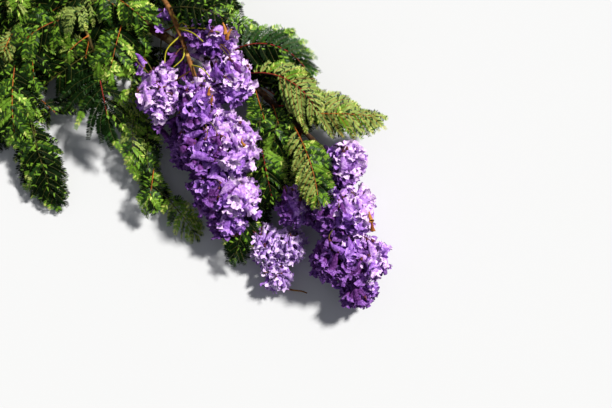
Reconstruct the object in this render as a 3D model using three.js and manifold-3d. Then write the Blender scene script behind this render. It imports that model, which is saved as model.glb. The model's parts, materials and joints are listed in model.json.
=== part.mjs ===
// A flowering jacaranda branch, cut from its tree and lying on level ground.
// Millimetres, +Z up. Places are measured on a drawing sheet whose X runs right and whose Y runs up,
// seen from above, with heights over the ground. The whole branch is centred on the origin at the end.

import * as THREE from "three";
import { mergeVertices } from "three/addons/utils/BufferGeometryUtils.js";
import Module from "manifold-3d";

const wasm = await Module();
wasm.setup();

// The middle of the branch's outline on the drawing sheet
const SHEET_CENTRE = new THREE.Vector3(228, -128, 0);

// Clearance where one piece meets another, and the smallest height of anything over the ground
const GAP = 0.4;
const GROUND_CLEARANCE = 0.3;

// Each limb is one tapering stem along a cubic curve: four control points, and its first and last radius
const LIMBS = {
  bough: { route: [[28, 133, 10.3], [105, 28, 16], [235, -66, 46], [343, -108, 56]], radii: [10, 4.6] },
  stem_a: { route: [[138, 24, 27], [222, 50, 44], [238, 0, 92], [278, -118, 98]], radii: [4.2, 2.8] },
  branch_b: { route: [[344, -109, 56], [385, -150, 62], [425, -185, 64], [456, -213, 62]], radii: [4.6, 3] },
  branch_c: { route: [[352, -118, 50], [376, -190, 48], [343, -260, 40], [353, -322, 34]], radii: [3, 2] },
  branch_left: { route: [[66, 86, 16], [16, 60, 42], [8, -50, 46], [36, -150, 42]], radii: [3.6, 1.8] },
  branch_middle: { route: [[108, 44, 21], [98, 0, 46], [122, -40, 54], [132, -78, 54]], radii: [3, 1.8] },
  branch_low: { route: [[193, -25, 34.8], [188, -95, 38], [196, -195, 32], [226, -274, 26]], radii: [2.8, 1.6] },
  twig_tip: { route: [[392, -404, 14], [404, -410, 12], [416, -408, 10], [430, -413, 9]], radii: [1.6, 1] },
};
const LIMB_SIDES = 8;
const LIMB_STEPS = 8;

// Masses of blossom: the middle of each, and its half sizes along X, Y and Z
const BLOSSOMS = {
  blossom_a_top: { centre: [298, -54, 92], half: [37, 28, 34] },
  blossom_a_left: { centre: [224, -132, 76], half: [34, 39, 34] },
  blossom_a_right: { centre: [326, -113, 84], half: [32, 37, 35] },
  blossom_a_centre: { centre: [279, -150, 84], half: [30, 40, 38] },
  blossom_a_waist: { centre: [309, -206, 62], half: [60, 46, 62] },
  blossom_a_low: { centre: [315, -263, 54], half: [54, 42, 54] },
  blossom_a_end: { centre: [317, -302, 36], half: [30, 31, 34] },
  blossom_a_shade: { centre: [264, -200, 42], half: [26, 38, 36] },
  blossom_b_top: { centre: [485, -230, 66], half: [33, 31, 36] },
  blossom_b_left: { centre: [414, -290, 42], half: [24, 27, 32] },
  blossom_b_middle: { centre: [475, -298, 56], half: [53, 40, 56] },
  blossom_b_low: { centre: [488, -363, 48], half: [61, 42, 50] },
  blossom_b_end: { centre: [502, -408, 32], half: [30, 21, 29] },
  blossom_c_stem: { centre: [367, -342, 27], half: [21, 24, 24] },
  blossom_c_side: { centre: [403, -345, 24], half: [25, 21, 22] },
  blossom_c_end: { centre: [386, -386, 20], half: [19, 22, 19] },
  bloom_by_bough: { centre: [199, -88, 58], half: [12, 15, 12] },
  bloom_by_stem: { centre: [228, -26, 64], half: [11, 17, 12] },
};
const BLOSSOM_DETAIL = 2;
const SMALL_BLOSSOM_DETAIL = 1;
const SMALL_BLOSSOM_SIZE = 26;
const BLOSSOM_UNEVENNESS = 0.07;

// Each leaf is one doubly feathered blade:
// [limb, share along it, heading, turn, length, left reach, right reach, middle height, tip height]
// The heading turns from +X towards +Y, in degrees, and changes by the turn on the way to the tip.
// The reaches are the blade's widest half widths, left and right of its rachis.
const LEAVES = [
  // Over the sky, right of the long panicle
  ["bough", 0.88, 49, -116, 160, 34, 48, 92, 66],
  ["bough", 0.98, 12, -78, 132, 30, 46, 108, 92],
  ["branch_b", 0.46, 3, -8, 140, 14, 34, 86, 62],
  ["branch_b", 0.34, 4, -16, 114, 30, 32, 74, 78],
  ["branch_b", 0.52, -58, -27, 128, 32, 32, 98, 104],
  // Between the panicles
  ["branch_c", 0.12, -84, 8, 150, 34, 34, 70, 46],
  ["branch_c", 0.42, -68, -8, 88, 30, 30, 46, 26],
  ["branch_c", 0.85, -108, -16, 66, 22, 22, 20, 10],
  ["bough", 0.99, -22, -35, 124, 30, 30, 42, 30],
  ["branch_b", 0.8, -120, -20, 104, 26, 26, 30, 20],
  // Over the long panicle's top
  ["stem_a", 0.4, 44, -44, 150, 42, 42, 82, 60],
  ["stem_a", 0.5, 16, -46, 118, 36, 36, 98, 78],
  ["stem_a", 0.62, 0, -30, 100, 28, 32, 120, 104],
  ["bough", 0.6, 66, -60, 150, 40, 40, 44, 34],
  ["bough", 0.44, 56, -24, 150, 40, 40, 20, 14],
  // In the middle of the foliage
  ["branch_middle", 1, -74, -8, 116, 36, 62, 74, 60],
  ["bough", 0.42, -132, -20, 70, 27, 27, 84, 80],
  ["bough", 0.5, -98, -8, 112, 36, 36, 80, 62],
  ["bough", 0.57, -84, -12, 88, 24, 32, 30, 20],
  ["branch_middle", 0.8, -140, 20, 78, 30, 30, 40, 20],
  ["branch_middle", 0.5, -165, 30, 104, 34, 34, 82, 66],
  ["branch_middle", 0.4, -24, -50, 116, 34, 34, 13, 8],
  // Below the foliage, beside the long panicle
  ["branch_low", 0.22, -104, 12, 100, 20, 28, 54, 40],
  ["branch_low", 0.42, -106, 26, 122, 24, 20, 46, 28],
  ["branch_low", 0.68, -88, 20, 100, 24, 26, 22, 8],
  ["branch_low", 0.98, -46, -14, 80, 24, 26, 24, 8],
  // Along the left side
  ["branch_left", 0.5, -62, -34, 124, 34, 34, 64, 44],
  ["branch_left", 0.74, -96, 10, 128, 34, 34, 64, 42],
  ["branch_left", 0.99, -78, 6, 150, 34, 34, 40, 10],
  ["branch_left", 0.86, -128, 26, 104, 32, 32, 22, 8],
  ["branch_left", 0.6, 176, 34, 110, 34, 34, 34, 20],
  ["branch_left", 0.3, 158, 34, 128, 36, 36, 52, 40],
  // By the cut end of the bough
  ["bough", 0.3, 74, -26, 150, 40, 40, 44, 26],
  ["bough", 0.14, -172, 24, 118, 34, 34, 30, 14],
];
const LEAF_THICKNESS = 5;
const LEAF_SAG = 0.3;
const PETIOLE_SHARE = 0.14;
const PETIOLE_HALF_WIDTH = 2.5;
const BLADE_STEPS = 6;
const BLADE_SIDE_STEPS = 2;

const BARK = new THREE.MeshStandardMaterial({ color: "#7a5136", roughness: 0.9, metalness: 0 });
const YOUNG_STEM = new THREE.MeshStandardMaterial({ color: "#7d6a3a", roughness: 0.8, metalness: 0 });
const LEAF_GREEN = new THREE.MeshStandardMaterial({ color: "#4d6a22", roughness: 0.6, metalness: 0 });
const VIOLET = new THREE.MeshStandardMaterial({ color: "#8a63c4", roughness: 0.55, metalness: 0 });

const radians = THREE.MathUtils.degToRad;

function limbCurve(name) {
  const points = LIMBS[name].route.map((p) => new THREE.Vector3(...p));
  return new THREE.CubicBezierCurve3(...points);
}

// A closed solid from a geometry whose faces point out
function solidOf(geometry) {
  const bare = geometry.clone();
  bare.deleteAttribute("normal");
  bare.deleteAttribute("uv");
  const merged = mergeVertices(bare, 1e-4);
  return new wasm.Manifold(
    new wasm.Mesh({
      numProp: 3,
      vertProperties: new Float32Array(merged.attributes.position.array),
      triVerts: new Uint32Array(merged.index.array),
    }),
  );
}

function geometryOf(solid) {
  const mesh = solid.getMesh();
  const geometry = new THREE.BufferGeometry();
  geometry.setAttribute("position", new THREE.BufferAttribute(new Float32Array(mesh.vertProperties), 3));
  geometry.setIndex(new THREE.BufferAttribute(new Uint32Array(mesh.triVerts), 1));
  geometry.computeVertexNormals();
  return geometry;
}

// A tapering limb: a capped cylinder whose axis is bent along the limb's curve
function limbSolid(name, grow) {
  const curve = limbCurve(name);
  const frames = curve.computeFrenetFrames(LIMB_STEPS, false);
  const [first, last] = LIMBS[name].radii;
  const cylinder = new THREE.CylinderGeometry(1, 1, 1, LIMB_SIDES, LIMB_STEPS);
  const places = cylinder.attributes.position;
  for (let i = 0; i < places.count; i++) {
    const share = places.getY(i) + 0.5;
    const step = Math.round(share * LIMB_STEPS);
    const radius = THREE.MathUtils.lerp(first, last, share) + grow;
    const end = step === 0 ? -grow : step === LIMB_STEPS ? grow : 0;
    const place = curve
      .getPointAt(share)
      .addScaledVector(frames.normals[step], places.getX(i) * radius)
      .addScaledVector(frames.binormals[step], -places.getZ(i) * radius)
      .addScaledVector(frames.tangents[step], end);
    places.setXYZ(i, place.x, place.y, place.z);
  }
  return solidOf(cylinder);
}

// An uneven mass of blossom, flattened where it lies on the ground
function blossomSolid(name, grow) {
  const { centre, half } = BLOSSOMS[name];
  const small = Math.max(...half) < SMALL_BLOSSOM_SIZE;
  const ball = new THREE.IcosahedronGeometry(1, small ? SMALL_BLOSSOM_DETAIL : BLOSSOM_DETAIL);
  const places = ball.attributes.position;
  for (let i = 0; i < places.count; i++) {
    const [x, y, z] = [places.getX(i), places.getY(i), places.getZ(i)];
    const waves = Math.sin(5 * x + centre[0]) + Math.sin(6 * y + centre[1]) * Math.cos(5 * z + centre[2]);
    const swell = 1 + BLOSSOM_UNEVENNESS * waves;
    places.setXYZ(
      i,
      centre[0] + x * (half[0] * swell + grow),
      centre[1] + y * (half[1] * swell + grow),
      centre[2] + z * (half[2] * swell + grow),
    );
  }
  return solidOf(ball).trimByPlane([0, 0, 1], GROUND_CLEARANCE - grow);
}

// The blade's outline: how far it reaches at a share of the leaf's length, as a share of its widest reach
function bladeOutline(share) {
  if (share <= PETIOLE_SHARE) return 0;
  const along = (share - PETIOLE_SHARE) / (1 - PETIOLE_SHARE);
  return (0.55 + 1.25 * along - 1.8 * along * along) / 0.767;
}

function leafOf(row) {
  const [limb, share, heading, turn, length, leftReach, rightReach, middle, tip] = row;
  const start = limbCurve(limb).getPoint(share);
  return { start, heading, turn, length, leftReach, rightReach, middle, tip };
}

// The rachis seen from above is an arc, and its height passes through its start, middle and tip
function rachisPoint(leaf, share) {
  const place = leaf.start.clone();
  const pieces = 24;
  for (let k = 0; k < pieces; k++) {
    const angle = radians(leaf.heading + leaf.turn * share * ((k + 0.5) / pieces));
    place.x += (Math.cos(angle) * leaf.length * share) / pieces;
    place.y += (Math.sin(angle) * leaf.length * share) / pieces;
  }
  place.z =
    (1 - share) * (1 - 2 * share) * leaf.start.z +
    4 * share * (1 - share) * leaf.middle +
    share * (2 * share - 1) * leaf.tip;
  return place;
}

// A point halfway through the blade: side runs from -1 at the right edge to 1 at the left
function bladePoint(leaf, share, side, grow) {
  const reach = side > 0 ? leaf.leftReach : leaf.rightReach;
  const across = side * (Math.max(PETIOLE_HALF_WIDTH, reach * bladeOutline(share)) + grow);
  const angle = radians(leaf.heading + leaf.turn * share + 90);
  const place = rachisPoint(leaf, share);
  place.x += Math.cos(angle) * across;
  place.y += Math.sin(angle) * across;
  place.z -= LEAF_SAG * Math.abs(side * across);
  place.z = Math.max(place.z, GROUND_CLEARANCE + LEAF_THICKNESS / 2);
  return place;
}

// Where along the leaf each ring of the blade lies: the petiole is one step, and the rest are even
function ringShare(ring) {
  if (ring === 0) return 0;
  return THREE.MathUtils.lerp(PETIOLE_SHARE, 1, (ring - 1) / (BLADE_STEPS - 1));
}

function leafSolid(row, grow) {
  const leaf = leafOf(row);
  const slab = new THREE.BoxGeometry(2, 2, 1, BLADE_SIDE_STEPS, 1, BLADE_STEPS);
  const places = slab.attributes.position;
  for (let i = 0; i < places.count; i++) {
    const ring = Math.round((places.getZ(i) + 0.5) * BLADE_STEPS);
    const end = ring === 0 ? -grow : ring === BLADE_STEPS ? grow : 0;
    const share = ringShare(ring) + end / leaf.length;
    const place = bladePoint(leaf, share, places.getX(i), grow);
    place.z += places.getY(i) * (LEAF_THICKNESS / 2 + grow);
    places.setXYZ(i, place.x, place.y, place.z);
  }
  return solidOf(slab);
}

function boxesMeet(a, b) {
  return [0, 1, 2].every((axis) => a.min[axis] <= b.max[axis] && b.min[axis] <= a.max[axis]);
}

// What is left of a solid beside its neighbours: the largest piece, clear of them all
function clearOf(solid, neighbours) {
  let left = solid;
  for (const other of neighbours) {
    if (boxesMeet(left.boundingBox(), other.boundingBox())) left = left.subtract(other);
  }
  return left.decompose().reduce((a, b) => (a.volume() >= b.volume() ? a : b));
}

const branch = new THREE.Group();
const laid = [];

// Adds a piece, cut clear of those already laid. The grown copy is the room that it takes.
function lay(name, solid, grown, material) {
  const mesh = new THREE.Mesh(geometryOf(clearOf(solid, laid)), material);
  mesh.name = name;
  branch.add(mesh);
  laid.push(grown);
}

for (const name of Object.keys(LIMBS)) {
  lay(name, limbSolid(name, 0), limbSolid(name, GAP), name === "bough" ? BARK : YOUNG_STEM);
}
for (const name of Object.keys(BLOSSOMS)) {
  lay(name, blossomSolid(name, 0), blossomSolid(name, GAP), VIOLET);
}
LEAVES.forEach((row, index) => {
  const name = `leaf_${String(index + 1).padStart(2, "0")}`;
  lay(name, leafSolid(row, 0), leafSolid(row, GAP), LEAF_GREEN);
});

branch.position.copy(SHEET_CENTRE).negate();

export default branch;
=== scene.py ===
"""A cut flowering jacaranda branch, lying on a pale floor under a camera that looks straight down on it.

Places are worked out in millimetres on the drawing sheet that the part's solids are drawn on: X runs right,
Y runs up and Z is the height over the floor. They become metres in the model's frame when a mesh is made.
"""

import json
import math
from collections import namedtuple

import bpy
import numpy as np
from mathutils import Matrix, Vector

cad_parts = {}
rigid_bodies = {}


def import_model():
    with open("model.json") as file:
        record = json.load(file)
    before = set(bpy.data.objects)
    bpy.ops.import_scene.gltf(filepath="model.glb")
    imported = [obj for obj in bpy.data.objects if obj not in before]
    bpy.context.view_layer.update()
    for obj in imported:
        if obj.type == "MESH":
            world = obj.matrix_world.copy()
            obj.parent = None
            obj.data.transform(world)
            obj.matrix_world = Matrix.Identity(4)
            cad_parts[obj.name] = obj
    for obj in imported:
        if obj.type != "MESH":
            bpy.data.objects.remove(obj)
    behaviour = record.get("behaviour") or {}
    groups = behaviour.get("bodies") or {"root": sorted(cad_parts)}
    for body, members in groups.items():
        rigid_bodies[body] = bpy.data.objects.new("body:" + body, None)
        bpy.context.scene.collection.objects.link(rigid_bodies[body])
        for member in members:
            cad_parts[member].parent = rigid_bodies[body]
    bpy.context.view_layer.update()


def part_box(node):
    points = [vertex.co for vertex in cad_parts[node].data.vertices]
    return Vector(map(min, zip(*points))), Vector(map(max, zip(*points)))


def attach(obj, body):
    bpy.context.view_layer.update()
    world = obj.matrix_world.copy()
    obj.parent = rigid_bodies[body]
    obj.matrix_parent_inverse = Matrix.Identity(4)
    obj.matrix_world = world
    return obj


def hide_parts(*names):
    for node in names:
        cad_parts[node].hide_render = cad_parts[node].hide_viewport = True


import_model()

MM = 0.001
SHEET_CENTRE = np.array([228.0, -128.0, 0.0])
FLOOR_CLEARANCE = 0.4
SEED = 20
UP = np.array([0.0, 0.0, 1.0])

# Each limb is one tapering stem along a cubic curve: four control points, and its first and last radius
LIMBS = {
    "bough": ([[28, 133, 10.3], [105, 28, 16], [235, -66, 46], [343, -108, 56]], [10, 4.6]),
    "stem_a": ([[138, 24, 27], [222, 50, 44], [238, 0, 92], [278, -118, 98]], [4.2, 2.8]),
    "branch_b": ([[344, -109, 56], [385, -150, 62], [425, -185, 64], [456, -213, 62]], [4.6, 3]),
    "branch_c": ([[352, -118, 50], [376, -190, 48], [343, -260, 40], [353, -322, 34]], [3, 2]),
    "branch_left": ([[66, 86, 16], [16, 60, 42], [8, -50, 46], [36, -150, 42]], [3.6, 1.8]),
    "branch_middle": ([[108, 44, 21], [98, 0, 46], [122, -40, 54], [132, -78, 54]], [3, 1.8]),
    "branch_low": ([[193, -25, 34.8], [188, -95, 38], [196, -195, 32], [226, -274, 26]], [2.8, 1.6]),
    "twig_tip": ([[392, -404, 14], [404, -410, 12], [416, -408, 10], [430, -413, 9]], [1.6, 1]),
}

# Each leaf is one doubly feathered blade, at the CAD blade's own place: limb, share along it, heading, turn,
# length, left reach, right reach, middle height, tip height, tone, rachis.
# Two tones are the left side's and the right side's.
LEAVES = [
    # Over open ground, right of the long panicle
    ["bough", 0.88, 49, -116, 160, 34, 48, 92, 66, "edged/deep", "crimson"],
    ["bough", 0.98, 12, -78, 132, 30, 46, 108, 92, "pale", "crimson"],
    ["branch_b", 0.46, 3, -8, 140, 14, 34, 86, 62, "pale", "orange"],
    ["branch_b", 0.34, 4, -16, 114, 30, 32, 74, 78, "pale", "crimson"],
    ["branch_b", 0.52, -58, -27, 128, 32, 32, 98, 104, "middle/pale", "orange"],
    # Between the panicles
    ["branch_c", 0.12, -84, 8, 150, 34, 34, 70, 46, "middle", "crimson"],
    ["branch_c", 0.42, -68, -8, 88, 30, 30, 46, 26, "deep", "olive"],
    ["branch_c", 0.85, -108, -16, 66, 22, 22, 20, 10, "deep", "olive"],
    ["bough", 0.99, -22, -35, 124, 30, 30, 42, 30, "deep", "crimson"],
    ["branch_b", 0.8, -120, -20, 104, 26, 26, 30, 20, "pale", "olive"],
    # Over the long panicle's top
    ["stem_a", 0.4, 44, -44, 150, 42, 42, 82, 60, "deep", "olive"],
    ["stem_a", 0.5, 16, -46, 118, 36, 36, 98, 78, "deep", "olive"],
    ["stem_a", 0.62, 0, -30, 100, 28, 32, 120, 104, "deep", "olive"],
    ["bough", 0.6, 66, -60, 150, 40, 40, 44, 34, "deep", "olive"],
    ["bough", 0.44, 56, -24, 150, 40, 40, 20, 14, "deep", "olive"],
    # In the middle of the foliage
    ["branch_middle", 1, -74, -8, 116, 36, 0, 74, 60, "deep", "crimson"],
    ["bough", 0.42, -132, -20, 70, 27, 27, 84, 80, "pale", "olive"],
    ["bough", 0.5, -98, -8, 112, 36, 36, 80, 62, "middle", "orange"],
    ["bough", 0.57, -84, -12, 88, 24, 32, 30, 20, "deep", "orange"],
    ["branch_middle", 0.8, -140, 20, 78, 30, 30, 40, 20, "deep", "olive"],
    ["branch_middle", 0.5, -165, 30, 104, 34, 34, 82, 66, "middle", "orange"],
    ["branch_middle", 0.4, -24, -50, 116, 34, 34, 13, 8, "deep", "olive"],
    # Below the foliage, beside the long panicle; most are of the fresh tone, painted lit where the long
    # panicle's shadow falls on them
    ["branch_low", 0.22, -104, 12, 100, 20, 28, 54, 40, "fresh", "olive"],
    ["branch_low", 0.42, -106, 26, 122, 24, 20, 46, 28, "fresh", "olive"],
    ["branch_low", 0.68, -88, 20, 100, 24, 26, 22, 8, "middle", "orange"],
    ["branch_low", 0.98, -46, -14, 80, 24, 26, 24, 8, "fresh", "olive"],
    # Along the left side
    ["branch_left", 0.5, -62, -34, 124, 34, 34, 64, 44, "middle", "orange"],
    ["branch_left", 0.74, -96, 10, 128, 34, 34, 64, 42, "middle", "orange"],
    ["branch_left", 0.99, -78, 6, 150, 34, 34, 40, 10, "deep", "olive"],
    ["branch_left", 0.86, -128, 26, 104, 32, 32, 22, 8, "deep", "olive"],
    ["branch_left", 0.6, 176, 34, 110, 34, 34, 34, 20, "middle", "olive"],
    ["branch_left", 0.3, 158, 34, 128, 36, 36, 52, 40, "middle", "olive"],
    # By the cut end of the bough
    ["bough", 0.3, 74, -26, 150, 40, 40, 44, 26, "middle", "olive"],
    ["bough", 0.14, -172, 24, 118, 34, 34, 30, 14, "middle", "olive"],
]

# The numbers of the leaves that have a second, darker leaf close under them, of the deep tone as painted
# shade, how far under, and its length
DOUBLED = (1, 2, 3, 4, 5, 28, 29)
UNDER = 13
UNDER_LENGTH = 0.96

# One leaf's long feathers hang apart like fingers: the share along the rachis that each leaves, its tip seen
# from above, and how far they bow
FINGERED = 16
FINGERS = [
    (0.04, 80, -108),
    (0.12, 76, -123),
    (0.21, 81, -139),
    (0.31, 89, -157),
    (0.41, 105, -179),
    (0.51, 123, -194),
    (0.6, 142, -199),
    (0.69, 156, -208),
    (0.78, 169, -211),
]
FINGER_BOW = 0.1

# Sprays of further leaves that fill the foliage, the deep ones a dark layer of painted shade under the upper
# leaves:
# limb, first and last share, leaves, middle heading, fan, length, reach, lowest and highest middle, tone
SPRAYS = [
    ["bough", 0.16, 0.5, 6, -112, 46, 120, 36, 12, 34, "deep"],
    ["branch_left", 0.1, 0.7, 5, -86, 50, 112, 36, 14, 40, "deep"],
    ["bough", 0.5, 0.7, 2, -92, 12, 104, 32, 16, 34, "deep"],
    ["bough", 0.88, 0.88, 1, -14, 8, 112, 26, 56, 64, "deep"],
    ["bough", 0.22, 0.56, 6, -128, 50, 116, 34, 18, 60, "deep"],
    ["bough", 0.3, 0.52, 3, -150, 40, 112, 32, 56, 88, "deep"],
    ["bough", 0.27, 0.42, 5, -38, 14, 112, 28, 56, 82, "middle"],
    ["branch_left", 0.25, 0.95, 5, -66, 26, 92, 30, 16, 50, "deep"],
    ["branch_left", 0.2, 0.8, 4, -145, 60, 104, 30, 46, 74, "deep"],
    ["branch_left", 0.36, 0.36, 1, -82, 0, 60, 18, 74, 74, "fresh"],
    ["branch_left", 0.62, 0.62, 1, -102, 0, 64, 16, 70, 70, "pale"],
    ["branch_middle", 0.3, 1, 5, -110, 50, 96, 32, 18, 72, "deep"],
    ["branch_middle", 0.75, 0.75, 1, -139, 0, 66, 14, 66, 66, "fresh"],
    ["branch_middle", 0.9, 1, 2, -56, 10, 64, 18, 70, 80, "fresh"],
    ["branch_low", 0.1, 0.9, 6, -86, 18, 70, 20, 16, 50, "middle"],
    ["branch_left", 0.94, 1, 2, -76, 10, 138, 30, 20, 34, "deep"],
    ["branch_c", 0.25, 0.75, 4, -88, 26, 104, 28, 24, 56, "deep"],
    ["branch_b", 0.25, 0.85, 5, -100, 34, 100, 30, 26, 58, "deep"],
    ["branch_b", 0.05, 0.45, 4, -76, 34, 74, 22, 76, 84, "middle"],
    ["bough", 0.8, 0.98, 4, 2, 30, 116, 34, 44, 70, "deep"],
    ["bough", 0.5, 0.78, 3, 50, 30, 128, 34, 30, 66, "middle"],
]

# Where the foliage is open: the middle and the half sizes of each gap, seen from above
OPENINGS = [
    ([66, -130], [10, 22]),
    ([76, -176], [14, 20]),
    ([92, -204], [16, 12]),
    ([133, -248], [38, 30]),
    ([172, -118], [12, 10]),
    ([224, -60], [11, 22]),
    ([238, -228], [15, 34]),
    ([374, -136], [18, 16]),
    ([446, -36], [34, 26]),
    ([366, -6], [24, 20]),
    ([125, -184], [40, 30]),
    ([345, -86], [9, 9]),
    ([448, -192], [17, 11]),
    ([396, -298], [20, 11]),
]

# Where the panicles are open or have a bay in their outline, in the same way
BLOSSOM_OPENINGS = [
    ([250, -290], [25, 36]),
    ([236, -240], [15, 18]),
    ([337, -336], [12, 12]),
    ([484, -188], [40, 9]),
    ([493, -229], [7, 8]),
    ([456, -246], [16, 9]),
    ([500, -240], [10, 7]),
]

# Parts of the panicles that lie in shade: the middle and half sizes seen from above, and how much darker
SHADED = [
    ([280, -262], [28, 60], 0.15),
    ([436, -334], [40, 56], 0.3),
    ([500, -408], [50, 26], 0.25),
]


def unit(vector):
    return vector / np.maximum(np.linalg.norm(vector, axis=-1, keepdims=True), 1e-9)


def mix(first, last, share):
    return first + (last - first) * share


def metres(points):
    """Sheet millimetres as metres in the model's frame."""
    return (np.asarray(points, float) - SHEET_CENTRE) * MM


def node_box(node):
    """A CAD node's middle and half sizes, in sheet millimetres."""
    low, high = (np.array(corner) / MM + SHEET_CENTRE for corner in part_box(node))
    return (low + high) / 2, (high - low) / 2


def cubic(points, share):
    a, b, c, d = (np.array(p, float) for p in points)
    share = np.asarray(share, float)[..., None]
    rest = 1 - share
    return rest**3 * a + 3 * rest**2 * share * b + 3 * rest * share**2 * c + share**3 * d


def limb_point(limb, share):
    return cubic(LIMBS[limb][0], share)


def in_opening(place, openings):
    """Whether a place lies in one of the gaps, seen from above."""
    return any((((place[:2] - middle) / half) ** 2).sum() < 1 for middle, half in np.array(openings, float))


def nearest_on(line, place):
    return line[np.argmin(np.linalg.norm(line - place, axis=1))]


def bowed(start, tip, bow, count):
    """A line from one place to another, with its middle drawn aside."""
    knee = mix(start, tip, 0.5) + bow
    return cubic([start, knee, knee, tip], np.linspace(0, 1, count))


def new_object(name, data):
    made = bpy.data.objects.new(name, data)
    bpy.context.scene.collection.objects.link(made)
    return made


# Materials: each finish is a function of its own colours, on the object's own coordinates

def srgb(code):
    """A colour written as #rrggbb, as the linear colour that a shader takes."""
    parts = [int(code[i : i + 2], 16) / 255 for i in (1, 3, 5)]
    return tuple(p / 12.92 if p <= 0.04045 else ((p + 0.055) / 1.055) ** 2.4 for p in parts) + (1.0,)


def add(tree, kind, inputs=None, **settings):
    """Adds a node to a tree. Each input takes another node's output, or a plain value."""
    made = tree.nodes.new(kind)
    for key, value in settings.items():
        setattr(made, key, value)
    for key, value in (inputs or {}).items():
        if isinstance(value, bpy.types.NodeSocket):
            tree.links.new(value, made.inputs[key])
        else:
            made.inputs[key].default_value = value
    return made


def new_material(name, roughness, specular=0.5):
    material = bpy.data.materials.new(name)
    material.use_nodes = True
    shader = material.node_tree.nodes["Principled BSDF"]
    shader.inputs["Roughness"].default_value = roughness
    shader.inputs["Specular IOR Level"].default_value = specular
    return material, material.node_tree, shader


def noise(tree, place, scale, detail=3.0, roughness=0.55):
    inputs = {"Vector": place, "Scale": scale, "Detail": detail, "Roughness": roughness}
    return add(tree, "ShaderNodeTexNoise", inputs).outputs["Fac"]


def blend_of(tree, share, first, last, low=0.35, high=0.65):
    """Goes from one colour to the other as share goes from low to high."""
    ramp = add(tree, "ShaderNodeValToRGB", {"Fac": share})
    for stop, position, colour in zip(ramp.color_ramp.elements, (low, high), (first, last)):
        stop.position = position
        stop.color = srgb(colour)
    return ramp.outputs["Color"]


def object_place(tree):
    return add(tree, "ShaderNodeTexCoord").outputs["Object"]


def finish(tree, shader, colour, height, strength, distance):
    """Gives the shader its colour, and a bump as deep as distance."""
    tree.links.new(colour, shader.inputs["Base Color"])
    made = add(tree, "ShaderNodeBump", {"Height": height, "Strength": strength, "Distance": distance})
    tree.links.new(made.outputs["Normal"], shader.inputs["Normal"])


def soft_tissue(name, first, last, roughness, specular=0.2):
    """Leaf or green stem: two near colours that drift into each other, with a fine uneven surface."""
    material, tree, shader = new_material(name, roughness, specular)
    place = object_place(tree)
    colour = blend_of(tree, noise(tree, place, scale=90.0), first, last)
    finish(tree, shader, colour, noise(tree, place, scale=900.0), strength=0.25, distance=0.0003)
    return material


def petal_finish(name, first, last):
    """Thin velvety tissue, crinkled, with fine streaks of two near colours."""
    material, tree, shader = new_material(name, roughness=0.6, specular=0.12)
    place = object_place(tree)
    streaks = noise(tree, place, scale=260.0, detail=4.0, roughness=0.7)
    crinkles = noise(tree, place, scale=420.0, detail=2.0)
    colour = blend_of(tree, streaks, first, last, low=0.4, high=0.6)
    finish(tree, shader, colour, crinkles, strength=0.8, distance=0.0015)
    return material


def bark_finish(name, dark, light, lichen, lichen_share, ridges=0.0008):
    """Rough bark: dark furrows, lighter ridges, and patches of lichen or worn skin."""
    material, tree, shader = new_material(name, roughness=0.88, specular=0.25)
    place = object_place(tree)
    grain = noise(tree, place, scale=260.0, detail=6.0, roughness=0.7)
    skin = blend_of(tree, grain, dark, light, low=0.34, high=0.7)
    patches = noise(tree, place, scale=70.0, detail=4.0, roughness=0.6)
    edges = {"Value": patches, "From Min": 0.62 - lichen_share, "From Max": 0.7 - lichen_share}
    spread = add(tree, "ShaderNodeMapRange", edges).outputs["Result"]
    colour = add(tree, "ShaderNodeMix", {0: spread, 6: skin, 7: srgb(lichen)}, data_type="RGBA").outputs[2]
    finish(tree, shader, colour, grain, strength=0.8, distance=ridges)
    return material


def cut_wood():
    """The sawn end: pale wood with growth rings round the bough's axis."""
    material, tree, shader = new_material("cut_wood", roughness=0.8, specular=0.3)
    centre = metres(limb_point("bough", 0.0))
    mapping = add(tree, "ShaderNodeMapping", {"Vector": object_place(tree), "Location": tuple(-centre)})
    inputs = {"Vector": mapping.outputs["Vector"], "Scale": 140.0, "Distortion": 1.2}
    made = add(tree, "ShaderNodeTexWave", inputs, wave_type="RINGS", rings_direction="SPHERICAL")
    rings = made.outputs["Fac"]
    colour = blend_of(tree, rings, "#b98f5c", "#e2c596", low=0.2, high=0.8)
    finish(tree, shader, colour, rings, strength=0.3, distance=0.0003)
    return material


LEAFY_STEM = bark_finish("leafy_stem", "#26210d", "#57481f", "#7d6a34", 0.04, 0.0003)
YOUNG_BARK = bark_finish("young_bark", "#57331b", "#a3713c", "#c29a55", 0.05, 0.0004)
LIMB_FINISHES = {
    "bough": bark_finish("bark", "#24170c", "#6e4b2c", "#86774c", 0.08),
    "branch_b": bark_finish("shaded_bark", "#1a110a", "#4d3320", "#8a5a2a", 0.03),
    "stem_a": YOUNG_BARK,
    "twig_tip": YOUNG_BARK,
}
CUT_WOOD = cut_wood()
RACHIS_TONES = {
    "crimson": soft_tissue("rachis_crimson", "#7a1a16", "#a8302a", 0.5),
    "orange": soft_tissue("rachis_orange", "#8a4218", "#b56a26", 0.5),
    "olive": soft_tissue("rachis_olive", "#333c12", "#544d20", 0.5),
}

# Each tone of foliage: its material; how far apart its feathers stand and how much they roll; its leaflets'
# length, spacing and forward sweep; the tone and share of the leaflets painted among them, lighter ones as
# glints of light and, among pale and tip leaflets, darker ones as specks of shade; and the lighter tone
# painted as a highlight on a feather's end, with the share of the feathers that have one. The deep tone is a
# dark green made near black with painted shade, for leaves laid under others and foliage painted as standing
# in shade
Tone = namedtuple("Tone", "material spacing roll leaflet step sweep odd odd_share end end_share")


def tone_of_leaf(name, first, last, roughness, specular, *measures):
    return Tone(soft_tissue("leaf_" + name, first, last, roughness, specular), *measures)


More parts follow.
